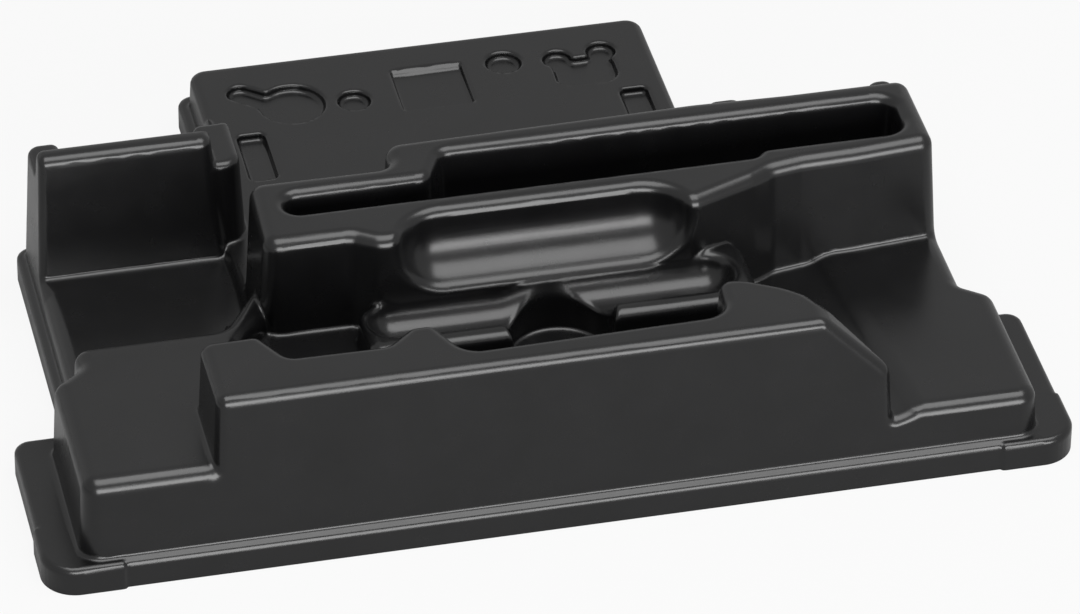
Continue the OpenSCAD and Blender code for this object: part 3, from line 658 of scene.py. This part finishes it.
# ---------------------------------------------------------------- the material
def plastic():
    """Near-black satin plastic, with a fine grain, soft waves of the moulding and some wear."""
    material = bpy.data.materials.new("black_plastic")
    material.use_nodes = True
    nodes, links = material.node_tree.nodes, material.node_tree.links
    shader = nodes["Principled BSDF"]
    place = nodes.new("ShaderNodeTexCoord").outputs["Object"]

    def noise(scale, detail):
        node = nodes.new("ShaderNodeTexNoise")
        node.inputs["Scale"].default_value = scale
        node.inputs["Detail"].default_value = detail
        links.new(place, node.inputs["Vector"])
        return node.outputs["Fac"]

    def spread(value, smallest, largest):
        node = nodes.new("ShaderNodeMapRange")
        for socket, number in (("From Min", 0.3), ("From Max", 0.7),
                               ("To Min", smallest), ("To Max", largest)):
            node.inputs[socket].default_value = number
        links.new(value, node.inputs["Value"])
        return node.outputs["Result"]

    def bump(height, depth, strength, under=None):
        node = nodes.new("ShaderNodeBump")
        node.inputs["Distance"].default_value = depth
        node.inputs["Strength"].default_value = strength
        links.new(height, node.inputs["Height"])
        if under is not None:
            links.new(under, node.inputs["Normal"])
        return node.outputs["Normal"]

    tone = nodes.new("ShaderNodeValToRGB")
    for stop, position, colour in zip(tone.color_ramp.elements, (0.35, 0.75), (BLACK, WORN_BLACK)):
        stop.position = position
        stop.color = colour + (1,)
    links.new(noise(35, 4), tone.inputs["Fac"])
    links.new(tone.outputs["Color"], shader.inputs["Base Color"])
    links.new(spread(noise(90, 5), *ROUGHNESS), shader.inputs["Roughness"])
    waves = bump(noise(28, 1), 0.0004, 0.25)
    links.new(bump(noise(1500, 2), 0.00004, 0.35, waves), shader.inputs["Normal"])
    return material


# ---------------------------------------------------------------- the object
sheet = bpy.data.objects.new("insert_sheet", sheet_mesh("insert_sheet"))
sheet.data.materials.append(plastic())
bpy.context.scene.collection.objects.link(sheet)
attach(sheet, "root")
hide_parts(NODE)


# ---------------------------------------------------------------- the studio
def stage_floor():
    """A plain white floor, which keeps the object's shadow."""
    mesh = bpy.data.meshes.new("floor")
    s = FLOOR_SIZE / 2
    mesh.from_pydata([(-s, -s, 0), (s, -s, 0), (s, s, 0), (-s, s, 0)], [], [(0, 1, 2, 3)])
    floor = bpy.data.objects.new("floor", mesh)
    bpy.context.scene.collection.objects.link(floor)
    material = bpy.data.materials.new("floor")
    material.use_nodes = True
    nodes, links = material.node_tree.nodes, material.node_tree.links
    nodes.remove(nodes["Principled BSDF"])
    path, seen = nodes.new("ShaderNodeLightPath"), nodes.new("ShaderNodeMath")
    seen.operation = "MULTIPLY"
    seen.inputs[1].default_value = FLOOR_GLOW
    links.new(path.outputs["Is Camera Ray"], seen.inputs[0])
    glow, matt = nodes.new("ShaderNodeEmission"), nodes.new("ShaderNodeBsdfDiffuse")
    mix = nodes.new("ShaderNodeMixShader")
    glow.inputs["Color"].default_value = (1, 1, 1, 1)
    matt.inputs["Color"].default_value = FLOOR_COLOUR + (1,)
    links.new(seen.outputs["Value"], mix.inputs[0])
    links.new(matt.outputs["BSDF"], mix.inputs[1])
    links.new(glow.outputs["Emission"], mix.inputs[2])
    links.new(mix.outputs["Shader"], nodes["Material Output"].inputs["Surface"])
    mesh.materials.append(material)


def strip(name, elevation, distance, along, length, height, power):
    """A long soft light on the front side of the object, parallel to its width."""
    light = bpy.data.lights.new(name, "AREA")
    light.shape = "RECTANGLE"
    light.size, light.size_y, light.energy = length, height, power
    obj = bpy.data.objects.new(name, light)
    bpy.context.scene.collection.objects.link(obj)
    e = math.radians(elevation)
    level, towards = Vector((1, 0, 0)), Vector((0, -math.cos(e), math.sin(e)))
    place = towards * distance + level * along
    turned = Matrix((level, towards.cross(level), towards)).transposed().to_4x4()
    obj.matrix_world = Matrix.Translation(place) @ turned


def set_camera():
    """The camera of the photograph, with its shift taken up by its place."""
    data = bpy.data.cameras.new("camera")
    data.lens, data.sensor_width = CAMERA_LENS, CAMERA_SENSOR
    camera = bpy.data.objects.new("camera", data)
    scene = bpy.context.scene
    scene.collection.objects.link(camera)
    scene.camera = camera
    turn, tilt, roll = (math.radians(v) for v in CAMERA_ANGLES)
    level = Vector((math.cos(turn), math.sin(turn), 0))
    ahead = Vector((-math.sin(turn) * math.cos(tilt), math.cos(turn) * math.cos(tilt),
                    -math.sin(tilt)))
    right = level * math.cos(roll) + level.cross(ahead) * math.sin(roll)
    up = right.cross(ahead)
    aside, below = CAMERA_SHIFT
    place = Vector(CAMERA_TARGET) - ahead * CAMERA_DISTANCE + right * aside - up * below
    place = (place - Vector((0, PLAN_MIDDLE, 0))) * MM
    turned = Matrix((right, up, -ahead)).transposed().to_4x4()
    camera.matrix_world = Matrix.Translation(place) @ turned


def set_world():
    """A pale surround: white to the camera, and a little brighter in the gloss than as light."""
    world = bpy.data.worlds.new("world")
    bpy.context.scene.world = world
    world.use_nodes = True
    nodes, links = world.node_tree.nodes, world.node_tree.links
    path = nodes.new("ShaderNodeLightPath")
    background = nodes["Background"]
    background.inputs["Color"].default_value = (1, 1, 1, 1)
    strength = None
    for ray, value in (("Is Glossy Ray", WORLD_SHINE), ("Is Camera Ray", 1.0)):
        mix = nodes.new("ShaderNodeMix")
        mix.inputs["B"].default_value = value
        if strength is None:
            mix.inputs["A"].default_value = WORLD_STRENGTH
        else:
            links.new(strength, mix.inputs["A"])
        links.new(path.outputs[ray], mix.inputs["Factor"])
        strength = mix.outputs["Result"]
    links.new(strength, background.inputs["Strength"])


stage_floor()
set_world()
set_camera()
for light in LIGHTS:
    strip(*light)
scene = bpy.context.scene
scene.view_settings.view_transform = "Standard"
